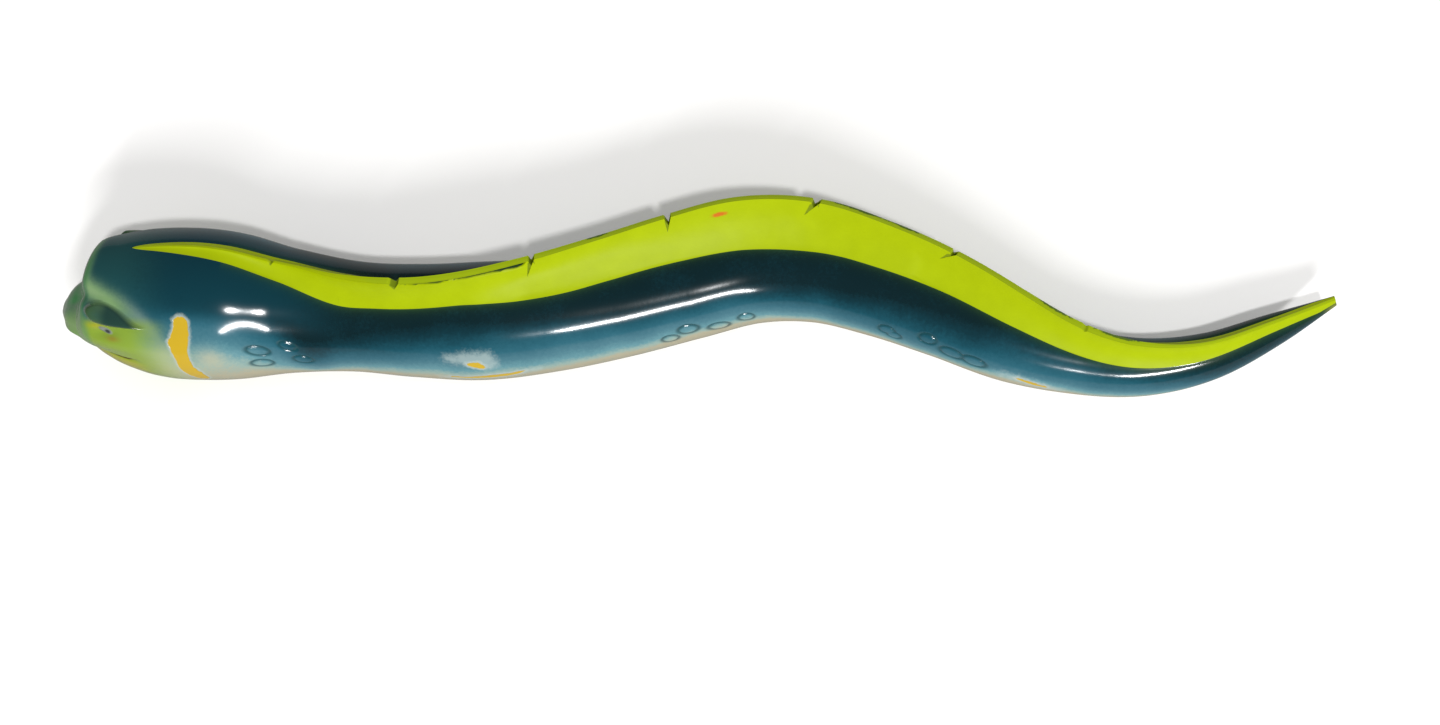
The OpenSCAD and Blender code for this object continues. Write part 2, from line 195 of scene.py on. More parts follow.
def relief(d, turn):
    """Height of the sculpting over the round head, from the distance behind the snout and
    the angle from the crown: a muzzle set below the domed forehead, a valley that runs back
    between forehead and brow, the brow, the eye in its socket, the cheek, the mouth and a
    smaller lower jaw. It is the same on both sides."""
    a = np.abs(turn)
    edge = along(d, 0, 24, 6, 30, 10, 34, 14, 44, 20, 57, 26, 68, 39, 80)
    muzzle = along(d, 0, 0, 2, -1.6, 4, -3.1, 5.6, -4.2, 6.8, -4.2, 7.9, -2.4, 9.1, -0.6, 10.2, 0,
                   14, 0, 39, 0)
    high = muzzle * (1 - 0.65 * smooth(38, 78, a)) * (1 - smooth(70, 110, a))
    high += 0.3 * smooth(8, 11, d) * (1 - smooth(24, 32, d)) * (1 - smooth(edge - 16, edge, a))
    valley = along(d, 0, 26, 7, 34, 10, 39, 14, 49, 20, 61, 24, 67, 39, 75)
    high -= along(d, 0, 0, 6, 0.1, 9, 1.2, 14, 1.1, 19, 0.5, 25, 0, 39, 0) * bell(a, valley, 7.5)
    high += 1.15 * (1 - smooth(0.35, 1.3, brow_place(d, a)))
    high -= 0.6 * np.exp(-((d - 13.3) / 2.1) ** 2 - ((a - 71) / 4.5) ** 2)
    eye_along, eye_across = eye_place(d, a)
    high += 0.35 * np.clip(1 - (eye_along / 1.2) ** 2 - (eye_across / 0.5) ** 2, 0, 1) ** 0.7
    high += 0.6 * np.exp(-((d - 15) / 6) ** 2 - ((a - 82) / 9) ** 2)
    high -= along(d, 0, 0, 1.5, 0.6, 4, 0.9, 7, 0.8, 10, 0.3, 14, 0, 20, 0, 39, 0) * smooth(50, 84, a)
    high -= along(d, 0, 0, 4, 0.1, 7, 0.8, 10, 1.25, 14, 0.9, 18, 0.3, 22, 0, 39, 0) * smooth(68, 102, a)
    mouth = mouth_line(d)
    open_ = smooth(0.5, 3, d) * (1 - smooth(16, 18.2, d))
    high -= 0.35 * open_ * np.exp(-((a - mouth) / 2) ** 2)
    jaw = along(d, 0, 0, 1, 0.8, 3, 1.6, 6, 1.9, 8, 1.2, 10, 0.5, 13, 0.1, 20, 0, 39, 0)
    high -= jaw * smooth(-1, 4, a - mouth) * (1 - 0.5 * smooth(120, 180, a))
    high += 0.55 * np.exp(-((d - 25) / 7) ** 2 - ((a - 100) / 26) ** 2)
    return high * (1 - smooth(31, 39, d))


# Oval rings sculpted in groups on the flanks: x, angle from the crown, half length,
# half width and tilt in degrees. They are grooves round a shallow dome.
OVALS = np.array([[-73.1, 81.9, 1.45, 0.8, 4], [-68.6, 73.4, 1.15, 0.7, 6], [-66.9, 89.1, 1.3, 0.75, -6],
                  [-73.1, 97.4, 1.4, 0.75, -4], [-13.6, 112.4, 1.1, 0.75, 14], [-10.7, 104.1, 1.35, 0.85, 10],
                  [-6.5, 113.7, 1.4, 0.75, 14], [-1.9, 110.2, 1.35, 0.75, 8], [22.2, 101.9, 1.1, 0.7, -4],
                  [23.3, 108.4, 1.0, 0.6, -4], [28.2, 93.2, 1.15, 0.8, -8], [31.8, 101.7, 1.5, 0.8, -4],
                  [34.9, 100.2, 1.4, 0.8, -6]])
OVAL_GROOVE, OVAL_DOME, OVAL_SIZE, OVAL_REACH = 0.15, 0.05, 1.12, 2.8


def oval_share(x, turn):
    """Distance from the middle of the nearest oval, as a share of its size, and FAR beyond them all."""
    best = FAR + 0 * x[:, None] * turn
    r = radius(x)[:, None]
    for x0, a0, long, wide, tilt in OVALS:
        rows = np.abs(x - x0) < OVAL_REACH
        u, v = x[rows, None] - x0, (np.abs(turn[rows]) - a0) * np.pi / 180 * r[rows]
        c, s = np.cos(np.radians(tilt)), np.sin(np.radians(tilt))
        share = np.hypot((u * c + v * s) / (OVAL_SIZE * long), (v * c - u * s) / (OVAL_SIZE * wide))
        best[rows] = np.minimum(best[rows], share)
    return best


def oval_relief(x, turn):
    """Height of the ovals."""
    share = oval_share(x, turn)
    return OVAL_DOME * (1 - smooth(0.2, 1, share)) - OVAL_GROOVE * np.exp(-((share - 1) / 0.17) ** 2)


BODY_COLUMNS, FLANK_COLUMNS, CREST_COLUMNS = 300, 22, 8


def lap_shares():
    """Shares of the way round a ring at which its points lie, closer together over the
    flanks, where the sculpting is."""
    angle = np.linspace(0, 360, 3601)
    from_crown = 180 - np.abs(180 - angle)
    dense = 1 + 2.2 * (smooth(40, 55, from_crown) * smooth(135, 118, from_crown))
    total = np.concatenate([[0], np.cumsum((dense[1:] + dense[:-1]) / 2)])
    return np.interp(np.linspace(0, total[-1], BODY_COLUMNS + 1), total, angle) / 360


LAP = lap_shares()


def body_grid(x):
    """Rings of the body from the fin's near foot, down under the belly, to its far foot:
    round the leaning crown at the radius plus the relief, and never below the table."""
    mid, _, side = frame_at(x)
    foot = np.degrees(foot_angle(x))[:, None]
    turn = -foot - LAP * (360 - 2 * foot)
    turn = np.where(turn < -180, turn + 360, turn)
    r = radius(x)[:, None] + relief((x - STATION_X[0])[:, None], turn) + oval_relief(x, turn)
    a = np.radians(turn + keyed(LEAN, x)[:, None])[..., None]
    p = mid[:, None] + r[..., None] * (np.cos(a) * [0, 0, 1] + np.sin(a) * side[:, None])
    p[..., 2] = np.maximum(p[..., 2], 0)
    return p, turn


def fin_grid(x, body):
    """Rings of the fin from its far foot over the crest to its near foot, and how far each
    point lay below the crest before the nicks were cut. The flanks are hollow wedges, the
    crest is flat with rounded corners, the nicks cut all of it and the slit its near side."""
    mid, ahead, side = frame_at(x)
    foot = foot_angle(x)[:, None]
    r = radius(x)[:, None] + relief((x - STATION_X[0])[:, None], np.degrees(foot))
    h = FIN_H * keyed(FIN_RISE, x)[:, None]
    full = smooth(place(1.1), place(2), x) * (1 - smooth(place(7), place(7.5), x))
    half = np.minimum(FIN_CREST / 2 * (0.35 + 0.65 * full)[:, None], 0.8 * r * np.sin(foot))
    low, top = r * np.cos(foot), r + h
    share = 1 - np.linspace(0, 1, FLANK_COLUMNS + 1)[::-1] ** 1.7
    up = low + (top - low) * share
    out = half + (r * np.sin(foot) - half) * (1 - share) ** 2
    across = np.linspace(1, -1, CREST_COLUMNS + 1)[1:-1]
    p = np.concatenate([out, half * across, -out[:, ::-1]], 1)
    q = np.concatenate([up, top - 0.1 * np.abs(across) ** 4 * np.minimum(1, h), up[:, ::-1]], 1)
    deep = top - q
    q = np.minimum(q, top - nick_depth(x)[:, None])
    slant = (NICKS[:, 3] * bell(x[:, None], STATION_X[1:8], SLANT_ALONG)).sum(1)[:, None]
    wide = slit_width(x)
    below = np.where(p < 0, deep, FAR)
    from_edge = np.clip(1 - np.abs(below - SLIT_BELOW - wide / 2) / np.maximum(wide / 2, 0.01), 0, 1)
    p = p + SLIT_DEPTH * from_edge ** 0.5 * (wide > SLIT_LEAST)
    b = np.radians(keyed(LEAN, x))[:, None]
    grid = (mid[:, None] + (q * np.cos(b) - p * np.sin(b))[..., None] * [0, 0, 1]
            + (q * np.sin(b) + p * np.cos(b))[..., None] * side[:, None]
            - (slant * np.minimum(deep, SLANT_DOWN))[..., None] * ahead[:, None])
    grid[:, 0], grid[:, -1] = body[:, -1], body[:, 0]
    return grid, deep


# Length of the steps between rings: the general one, how much shorter it is on the face,
# and the shortest ones at an oval, at a nick, at the snout and at the tail tip
RING_STEP, FACE_LESS = 0.5, 0.33
OVAL_STEP, NICK_STEP, SNOUT_STEP, TIP_STEP = 0.2, 0.07, 0.02, 0.04


def ring_places(ends):
    """x of the rings between each two places in ends: close together on the face, at the
    oval rings and at the nicks, and wider elsewhere."""
    x = np.linspace(STATION_X[0], STATION_X[8], 40001)
    d = x - STATION_X[0]
    step = RING_STEP - FACE_LESS * (1 - smooth(18, 24, d))
    near = np.abs(x[:, None] - OVALS[:, 0]).min(1)
    step = np.minimum(step, OVAL_STEP + 0.22 * smooth(1.6, 2.2, near))
    near = np.abs(x[:, None] - STATION_X[1:8]).min(1)
    step = np.minimum(step, NICK_STEP + 0.35 * smooth(0.7, 2, near))
    step = np.minimum(step, SNOUT_STEP + 0.12 * d)
    step = np.minimum(step, TIP_STEP + 0.1 * (STATION_X[8] - x))
    count = np.concatenate([[0], np.cumsum(np.diff(x) * 2 / (step[1:] + step[:-1]))])
    parts = []
    for a, b in zip(ends[:-1], ends[1:]):
        c = np.interp([a, b], x, count)
        parts.append(np.interp(np.linspace(*c, int(np.ceil(c[1] - c[0])) + 1), count, x))
    return parts


# Angle from the crown, by station, at which the sprayed back has thinned to each of the
# tones TONES: from the dark back over teal and blue to the bare belly.
TONES = np.array([0, 0.25, 0.5, 0.75, 1])
SPRAY = np.array([
    [0, 20, 32, 44, 54, 70], [0.3, 20, 32, 44, 54, 70], [0.4, 22, 40, 52, 64, 90],
    [0.55, 24, 50, 64, 80, 104], [0.7, 22, 50, 62, 82, 112], [0.85, 26, 52, 66, 86, 114],
    [1, 38, 62, 80, 98, 116], [1.25, 60, 86, 96, 106, 118], [1.5, 50, 70, 82, 92, 106],
    [2, 34, 58, 71, 82, 98], [2.4, 30, 53, 69, 85, 102], [2.8, 40, 54, 75, 91, 110],
    [3.25, 50, 64, 82, 99, 116], [3.7, 58, 75, 90, 106, 121], [4.25, 60, 78, 94, 107, 121],
    [4.9, 64, 88, 100, 113, 128], [5.5, 58, 86, 103, 115, 128], [6.1, 46, 84, 104, 117, 133],
    [6.6, 22, 64, 89, 101, 118], [7, 12, 54, 82, 96, 116], [7.35, 20, 64, 84, 99, 120],
    [7.6, 46, 90, 106, 122, 140], [8, 60, 104, 120, 136, 150]])

# Places where the paint has chipped down to the golden vinyl, as paths of [x, angle
# from the crown, radius], in millimetres and degrees, the near side negative.
CHIPS = [
    np.array([[-83.4, -61, 1.15], [-83.6, -69, 1.25], [-84.3, -77, 1.5], [-84.3, -84, 1.2], [-84.2, -92, 1.1],
              [-84.1, -100, 1.15], [-83.3, -108, 1.2], [-82.8, -115, 0.95]]),
    np.array([[-41.3, -77, 0.3], [-40.4, -79, 0.6], [-39.6, -83, 0.35]]),
    np.array([[-44.5, -98, 0.2], [-42, -101, 0.25], [-39.5, -102, 0.5], [-36.5, -103, 0.45],
              [-34.5, -101, 0.2]]),
    np.array([[40.6, -104, 0.2], [42.4, -107, 0.35], [44.2, -108, 0.2]]),
]
# Paler worn patches round them, in the same form
WORN = [
    np.array([[-44.2, -68, 0.5], [-41.6, -70, 1.2], [-39.2, -74, 1.5], [-38.4, -80, 1.0]]),
    np.array([[-46, -99, 0.4], [-39, -103, 0.9], [-32.5, -103, 0.4]]),
    np.array([[38.5, -104, 0.4], [42, -107, 0.8], [46, -109, 0.4]]),
]


SPRAY_SHIFT = 20   # most that the sprayed back is shifted round the head, in degrees


def sprayed_angle(x, turn):
    """Angle from the middle of the sprayed back, which lies nearer to the near side on the head."""
    return np.abs(turn) + SPRAY_SHIFT * (turn > 0) * bell(x - STATION_X[0], 32, 20)[:, None]


def tone(x, turn):
    """How far the spray of the back has thinned at each point, from 0 on the back to 1 on the belly."""
    a = sprayed_angle(x, turn)
    edges = np.stack([keyed(SPRAY[:, [0, k]], x) for k in range(1, 6)], 1)[:, None]
    part = np.clip((a[..., None] - edges[..., :-1]) / (edges[..., 1:] - edges[..., :-1]), 0, 1)
    return (part * np.diff(TONES)).sum(-1)


def path_depth(x, turn, paths):
    """Distance inside the edge of the marks along some paths, in millimetres, negative outside
    them: the largest of the radius minus the distance, over every step of every path."""
    best = np.full(turn.shape, -FAR)
    r = radius(x)[:, None]
    v = turn * np.pi / 180 * r
    for path in paths:
        rows = (x > path[:, 0].min() - 6) & (x < path[:, 0].max() + 6)
        for a, b in zip(path[:-1], path[1:]):
            ra = r[rows]
            au, av, bu, bv = a[0], a[1] * np.pi / 180 * ra, b[0], b[1] * np.pi / 180 * ra
            u, w = x[rows, None] - au, v[rows] - av
            t = np.clip((u * (bu - au) + w * (bv - av)) / ((bu - au) ** 2 + (bv - av) ** 2), 0, 1)
            inside = a[2] + (b[2] - a[2]) * t - np.hypot(u - t * (bu - au), w - t * (bv - av))
            best[rows] = np.maximum(best[rows], inside)
    return best


def skin_paint(x, turn):
    """The skin's paint layers at each point, among them a highlight painted along the forehead's front
    edge: soft layers as coverage, and crisp ones as a measure that is above 0 inside their edge,
    near enough the distance in millimetres."""
    d, a = (x - STATION_X[0])[:, None] + 0 * turn, np.abs(turn)
    r = radius(x)[:, None]
    brow = brow_place(d, a)
    mouth = (a - mouth_line(d)) * np.pi / 180 * r
    valley = along(d, 0, 20, 9, 27, 10.5, 33, 12.7, 40, 14.8, 46, 16.9, 51, 18.8, 57, 20.8, 66,
                   22.2, 74, 24, 84, 39, 110)
    beside = np.where(a < valley, (valley - a) / 8, (a - valley) / 11)
    band = np.exp(-beside**2) * smooth(9.2, 10.6, d) * (1 - smooth(21, 27, d))
    snout = 1 - smooth(9, 10.8, d - 0.8 * (1 - smooth(20, 40, a)))
    cheek = smooth(56, 66, a) * smooth(7.5, 9.5, d) * (1 - smooth(17, 25, d))
    eye_along, eye_across = eye_place(d, a)
    share = oval_share(x, turn)
    foot = (a - np.degrees(foot_angle(x))[:, None]) * np.pi / 180 * r
    return {
        "tone": tone(x, turn),
        "nape": smooth(12, 26, d) * (1 - smooth(38, 52, d)) * (1 - smooth(40, 62, sprayed_angle(x, turn))),
        "forehead": (1 - smooth(14, 26, d)) * (1 - smooth(60, 90, a)),
        # A paler band along the forehead's front edge: a painted highlight on that edge
        "rim": bell(d, 9.9, 0.9) * (1 - smooth(28, 38, a)),
        "valley_front": band * (1 - smooth(14, 20, d)),
        "valley_rear": band * smooth(14, 20, d),
        "snout": snout,
        "snout_low": snout * smooth(48, 78, a),
        "cheek": cheek,
        "cheek_rear": smooth(72, 88, a) * bell(d, 22, 4.5),
        "yellow": (smooth(-0.3, 1.2, mouth) * (1 - smooth(15, 20, d)) * smooth(5, 9, d)
                   * (1 - smooth(130, 160, a)) + 0.8 * bell(d, 12, 1.6) * bell(a, 65, 3)),
        "brow_green": (1 - smooth(0.55, 1.05, brow)) * (1 - smooth(10.8, 14.5, d)),
        "brow_dark": (1 - smooth(0.55, 1.05, brow)) * smooth(10.8, 14.5, d),
        "blush": bell(d, 14.6, 1.1) * bell(a, 75.5, 2),
        "cream": bell(d, 29.6, 1.9) * bell(a, 91, 9),
        "tip": smooth(190.5, 192.5, d),
        "overspray": np.exp(-np.maximum(foot, 0) / 0.5) * (x > place(0.8))[:, None],
        "oval": np.exp(-((share - 1) / 0.23) ** 2),
        "eye": 0.5 * (1 - np.hypot(eye_along / 1.15, eye_across / 0.48)),
        "pupil": 0.3 - np.hypot((eye_along - 0.4) / 1.5, eye_across),
        "mouth": 0.42 - np.abs(mouth + 0.15) - 0.5 * smooth(15, 18, d) - 0.6 * (1 - smooth(5, 9, d)),
        "worn": path_depth(x, turn, WORN),
        "chip": path_depth(x, turn, CHIPS),
    }


def fin_paint(x, deep, side):
    """The fin's paint layers, each a measure that is above 0 inside its edge: the crest's
    flat face, the shade painted dark inside the slit and inside the nicks, the rubbed marks
    and an orange dot. The side is 1 on the far flank and -1 on the near one."""
    columns = np.arange(deep.shape[1])
    first, last = FLANK_COLUMNS, deep.shape[1] - 1 - FLANK_COLUMNS
    flat = np.minimum(columns - (first - 0.5), (last + 0.5) - columns)
    bare_front = 3 * (1 - smooth(1.5, 2.1, station_of(x)))[:, None]
    near_only = FAR * (side > 0)
    wide = slit_width(x)
    slit_shade = wide / 2 - np.abs(deep - SLIT_BELOW - wide / 2) - near_only
    cut = nick_depth(x)[:, None]
    rubbed = np.full(deep.shape, -FAR)
    for middle, half in SCUFFS:
        away = np.hypot((x[:, None] - middle) / half, (columns - FLANK_COLUMNS - 0.5) / 2.5)
        rubbed = np.maximum(rubbed, 0.6 * (1 - away))
    return {
        "crest": np.clip(flat, -2, 2) - bare_front + 0 * deep,
        # The slit and the nicks are painted dark as the shade inside those hollows
        "slit_shade": np.where(wide > SLIT_LEAST, slit_shade, -FAR),
        "cut": np.minimum(cut - 0.35, cut + 0.1 - deep),
        "rubbed": rubbed,
        "dot": 0.4 * (1 - np.hypot((x[:, None] + 2.6) / 1.0, (deep - 1.7) / 0.35)) - near_only,
    }


def wrapped_normals(points):
    """Outward directions on a grid whose rings close round: the cross product of the steps
    along and round it."""
    step = np.gradient(points, axis=0)
    round_ = np.roll(points, -1, 1) - np.roll(points, 1, 1)
    n = np.cross(step, round_)
    return n / np.maximum(np.linalg.norm(n, axis=2, keepdims=True), 1e-12)


def make_mesh(name, points, normals, layers, quads):
    """A mesh object, in metres, from points in millimetres, quads whose repeated corners
    are dropped, a normal for each point and the paint layers as attributes."""
    same = [quads[:, k] == quads[:, (k + 1) % 4] for k in range(4)]
    count = sum(s.astype(int) for s in same)
    fours = quads[count == 0]
    threes = [np.delete(quads[same[k] & (count == 1)], (k + 1) % 4, 1) for k in range(4)]
    threes = np.concatenate(threes)
    mesh = bpy.data.meshes.new(name)
    mesh.vertices.add(len(points))
    mesh.vertices.foreach_set("co", (points * MM).astype(np.float32).ravel())
    mesh.loops.add(fours.size + threes.size)
    mesh.loops.foreach_set("vertex_index", np.concatenate([fours.ravel(), threes.ravel()]).astype(np.int32))
    mesh.polygons.add(len(fours) + len(threes))
    starts = np.concatenate([np.arange(len(fours)) * 4, fours.size + np.arange(len(threes)) * 3])
    mesh.polygons.foreach_set("loop_start", starts.astype(np.int32))
    mesh.polygons.foreach_set("use_smooth", np.ones(len(starts), bool))
    mesh.update(calc_edges=True)
    for key, value in layers.items():
        mesh.attributes.new(key, "FLOAT", "POINT").data.foreach_set("value", value.astype(np.float32).ravel())
    rest = mesh.attributes.new("rest", "FLOAT_VECTOR", "POINT")
    rest.data.foreach_set("vector", (points * MM).astype(np.float32).ravel())
    mesh.normals_split_custom_set_from_vertices(normals.tolist())
    obj = bpy.data.objects.new(name, mesh)
    bpy.context.scene.collection.objects.link(obj)
    return obj


def closed_strip(name, grid, normals, layers, joined=None):
    """A piece of a grid of rings, closed by a fan at each end and by a strip between its
    last column and its first. Where joined is true for a ring, those two columns are one."""
    rings, columns = grid.shape[:2]
    index = np.arange(rings * columns).reshape(rings, columns)
    if joined is not None:
        index[joined, -1] = index[joined, 0]
    ring = np.concatenate([index, index[:, :1]], 1)
    quads = np.stack([ring[:-1, :-1], ring[1:, :-1], ring[1:, 1:], ring[:-1, 1:]], -1).reshape(-1, 4)
    fans = []
    for row, centre, flip in ((ring[0], rings * columns, 1), (ring[-1], rings * columns + 1, -1)):
        fan = np.stack([np.full(columns, centre), row[:-1], row[1:], np.full(columns, centre)], -1)
        fans.append(fan[:, ::flip])
    quads = np.concatenate([quads] + fans)
    used, inverse = np.unique(quads, return_inverse=True)
    flat = grid.reshape(-1, 3)
    points = np.concatenate([flat, grid[0].mean(0)[None], grid[-1].mean(0)[None]])[used]
    ends = np.array([[-1, 0, 0], [1, 0, 0]])
    normals = np.concatenate([normals.reshape(-1, 3), ends])[used]
    layers = {k: np.concatenate([v.ravel(), [v[0].mean(), v[-1].mean()]])[used] for k, v in layers.items()}
    return make_mesh(name, points, normals, layers, inverse.reshape(-1, 4)[:, ::-1])


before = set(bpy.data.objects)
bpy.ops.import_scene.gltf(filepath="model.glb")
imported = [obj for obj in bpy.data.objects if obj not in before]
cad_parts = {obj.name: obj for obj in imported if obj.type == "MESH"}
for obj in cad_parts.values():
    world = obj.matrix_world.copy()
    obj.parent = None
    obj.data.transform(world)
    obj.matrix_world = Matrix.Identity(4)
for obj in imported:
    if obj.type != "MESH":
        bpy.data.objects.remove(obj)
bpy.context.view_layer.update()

CUTS = np.concatenate([[STATION_X[0]], place(np.arange(1.5, 7, 1)), [STATION_X[8]]])
PLACES = ring_places(CUTS)
X = np.concatenate([PLACES[0]] + [p[1:] for p in PLACES[1:]])
X[0] += 1e-4   # the first ring is not quite a point
FIRST = np.concatenate([[0], np.cumsum([len(p) - 1 for p in PLACES])])
BODY, TURN = body_grid(X)
FIN, DEEP = fin_grid(X, BODY)
WHOLE = np.concatenate([BODY, FIN[:, 1:-1]], 1)
AROUND = wrapped_normals(WHOLE)
if (AROUND * (WHOLE - frame_at(X)[0][:, None])).sum() < 0:
    AROUND = -AROUND
BODY_N = AROUND[:, :BODY_COLUMNS + 1]
FIN_N = np.concatenate([AROUND[:, BODY_COLUMNS:], AROUND[:, :1]], 1)
SKIN_LAYERS = skin_paint(X, TURN)
FIN_SIDE = np.where(np.arange(FIN.shape[1]) < FIN.shape[1] / 2, 1, -1)[None]
FIN_LAYERS = fin_paint(X, DEEP, FIN_SIDE)


def srgb(hex_colour):
    """Linear colour of an sRGB hex value."""
    c = np.array([int(hex_colour[k:k + 2], 16) for k in (1, 3, 5)]) / 255
    return (*np.where(c <= 0.04045, c / 12.92, ((c + 0.055) / 1.055) ** 2.4), 1)


def add_node(tree, kind, settings=(), **inputs):
    """A node with its settings and its inputs, which are values or other nodes' outputs."""
    node = tree.nodes.new(kind)
    for key, value in dict(settings).items():
        setattr(node, key, value)
    for key, value in inputs.items():
        by_number = key[0] == "i" and key[1:].isdigit()
        socket = node.inputs[int(key[1:]) if by_number else key.replace("_", " ")]
        if isinstance(value, bpy.types.NodeSocket):
            tree.links.new(value, socket)
        else:
            socket.default_value = value
    return node


def new_material(name):
    """An empty node material and its Principled shader."""
    material = bpy.data.materials.new(name)
    material.use_nodes = True
    tree = material.node_tree
    tree.nodes.clear()
    shader = add_node(tree, "ShaderNodeBsdfPrincipled")
    add_node(tree, "ShaderNodeOutputMaterial", Surface=shader.outputs[0])
    return material, tree, shader


def noise(tree, where, millimetres, detail=2.0, rough=0.5):
    """Noise on the rest position, whose grains are about that size."""
    return add_node(tree, "ShaderNodeTexNoise", Vector=where, Scale=1000.0 / millimetres, Detail=detail,
                    Roughness=rough).outputs[0]


def calc(tree, operation, *values, clamp=False):
    """One step of arithmetic."""
    return add_node(tree, "ShaderNodeMath", {"operation": operation, "use_clamp": clamp},
                    **{f"i{k}": v for k, v in enumerate(values)}).outputs[0]


def swing(tree, grains, amount):
    """Noise that swings about 0, times an amount."""
    return calc(tree, "MULTIPLY", calc(tree, "SUBTRACT", grains, 0.5), amount)


def over(tree, below, colour, cover):
    """A coat of colour over the one below, by its coverage."""
    return add_node(tree, "ShaderNodeMix", {"data_type": "RGBA"}, i0=cover, i6=below, i7=colour).outputs[2]


def layer(tree, name):
    """A paint layer's attribute."""
    return add_node(tree, "ShaderNodeAttribute", {"attribute_name": name}).outputs[2]


def edge(tree, distance, soft, ragged=None, amount=0.0):
    """Coverage of a crisp mark, from the distance inside its edge, which noise makes ragged."""
    if ragged is not None:
        distance = calc(tree, "ADD", distance, swing(tree, ragged, amount))
    return add_node(tree, "ShaderNodeMapRange", {"interpolation_type": "SMOOTHSTEP"}, Value=distance,
                    From_Min=-soft, From_Max=soft).outputs[0]


def sprayed_vinyl():
    """Soft PVC, moulded and then airbrushed with vinyl paint: a smooth gloss skin whose
    colour changes in soft sprayed bands with fine speckle at their edges, with a highlight
    painted along the forehead's front edge."""
    material, tree, shader = new_material("airbrushed soft vinyl")
    rest = add_node(tree, "ShaderNodeAttribute", {"attribute_name": "rest"}).outputs[1]
    speckle = noise(tree, rest, 0.5, 3, 0.7)   # spray droplets, drawn coarser than the real 0.1 mm
    cloud = noise(tree, rest, 6)
    uneven = calc(tree, "ADD", swing(tree, speckle, 0.16), swing(tree, cloud, 0.16))
    shade = calc(tree, "ADD", layer(tree, "tone"), uneven, clamp=True)
    ramp = add_node(tree, "ShaderNodeValToRGB", Fac=shade)
    stops = [(0.0, "#071E23"), (0.12, "#0B2D36"), (0.27, "#164552"), (0.45, "#275664"),
             (0.6, "#3B6672"), (0.76, "#527E86"), (0.88, "#7E958E"), (1.0, "#99947D")]
    while len(ramp.color_ramp.elements) < len(stops):
        ramp.color_ramp.elements.new(0.5)
    for element, (at, colour) in zip(ramp.color_ramp.elements, stops):
        element.position, element.color = at, srgb(colour)
    colour = ramp.outputs[0]
    # The pale coat along the forehead's front edge is a painted highlight, not a sprayed colour
    soft = [("nape", "#08313B", 0.9), ("forehead", "#1B4648", 0.8), ("tip", "#7E8034", 0.8),
            ("rim", "#6C8E70", 0.8), ("valley_rear", "#688177", 0.75),
            ("valley_front", "#7C9C68", 0.9), ("cheek_rear", "#98A07A", 0.8), ("cream", "#999B85", 0.8),
            ("cheek", "#77902B", 0.95), ("snout", "#3C6E42", 0.95), ("snout_low", "#6A8F48", 0.9),
            ("yellow", "#97921E", 0.85), ("brow_dark", "#1C3732", 0.97), ("brow_green", "#334E2F", 0.97),
            ("blush", "#8C6226", 0.5), ("overspray", "#2E4B21", 0.6), ("oval", "#153E44", 0.85)]
    for name, paint, most in soft:
        cover = layer(tree, name)
        partly = calc(tree, "MULTIPLY", cover, calc(tree, "SUBTRACT", 1.0, cover))
        speckled = calc(tree, "MULTIPLY_ADD", swing(tree, speckle, partly), 1.2, cover, clamp=True)
        cover = calc(tree, "MULTIPLY", speckled, most)
        colour = over(tree, colour, srgb(paint), cover)
    ragged = noise(tree, rest, 0.9, 4, 0.7)
    crisp = [("eye", "#767C76", 0.12, 0), ("pupil", "#303436", 0.14, 0), ("mouth", "#341D0D", 0.14, 0.1)]
    for name, paint, width, amount in crisp:
        colour = over(tree, colour, srgb(paint), edge(tree, layer(tree, name), width, ragged, amount))
    worn = edge(tree, layer(tree, "worn"), 0.9, ragged, 2.4)
    colour = over(tree, colour, srgb("#99A8A5"), calc(tree, "MULTIPLY", worn, 0.6))
    halo = edge(tree, calc(tree, "ADD", layer(tree, "chip"), 0.3), 0.35, ragged, 1.0)
    colour = over(tree, colour, srgb("#9CA7A1"), calc(tree, "MULTIPLY", halo, 0.8))
    bare = edge(tree, layer(tree, "chip"), 0.08, ragged, 0.6)
    colour = over(tree, colour, srgb("#B09222"), bare)
    tree.links.new(colour, shader.inputs["Base Color"])
    shader.inputs["Roughness"].default_value = 0.13
    shader.inputs["IOR"].default_value = 1.5
    fine = noise(tree, rest, 0.6, 2)
    height = calc(tree, "ADD", calc(tree, "MULTIPLY", fine, 0.003), calc(tree, "MULTIPLY", bare, -0.05))
    bump = add_node(tree, "ShaderNodeBump", Strength=1.0, Distance=MM, Height=height)
    tree.links.new(bump.outputs[0], shader.inputs["Normal"])
    return material


def fin_vinyl():
    """The same moulding brushed with an opaque lime paint, scuffed along the crest, with shade painted dark
    into its slit and its nicks.
    """
    material, tree, shader = new_material("lime painted vinyl")
    rest = add_node(tree, "ShaderNodeAttribute", {"attribute_name": "rest"}).outputs[1]
    grain, ragged = noise(tree, rest, 3, 3), noise(tree, rest, 0.8, 4, 0.7)
    base = over(tree, srgb("#8D9D00"), srgb("#98A902"), grain)
    crest = edge(tree, layer(tree, "crest"), 0.5, ragged, 0.8)
    colour = over(tree, base, srgb("#8BA012"), calc(tree, "MULTIPLY", crest, 0.6))
    # The slit's and the nicks' dark colours are painted shade in those hollows
    marks = [("slit_shade", "#23391C", 0.06, 0.1, 1), ("cut", "#4C5C16", 0.12, 0.2, 0.65),
             ("rubbed", "#2A4526", 0.12, 1.4, 0.8), ("dot", "#B5551A", 0.15, 0.5, 0.9)]
    for name, paint, width, amount, most in marks:
        cover = edge(tree, layer(tree, name), width, ragged, amount)
        colour = over(tree, colour, srgb(paint), calc(tree, "MULTIPLY", cover, most))
    tree.links.new(colour, shader.inputs["Base Color"])
    shader.inputs["Roughness"].default_value = 0.4
    shader.inputs["Specular IOR Level"].default_value = 0.08
    height = calc(tree, "MULTIPLY", grain, 0.05)
    bump = add_node(tree, "ShaderNodeBump", Strength=1.0, Distance=MM, Height=height)
    tree.links.new(bump.outputs[0], shader.inputs["Normal"])
    return material


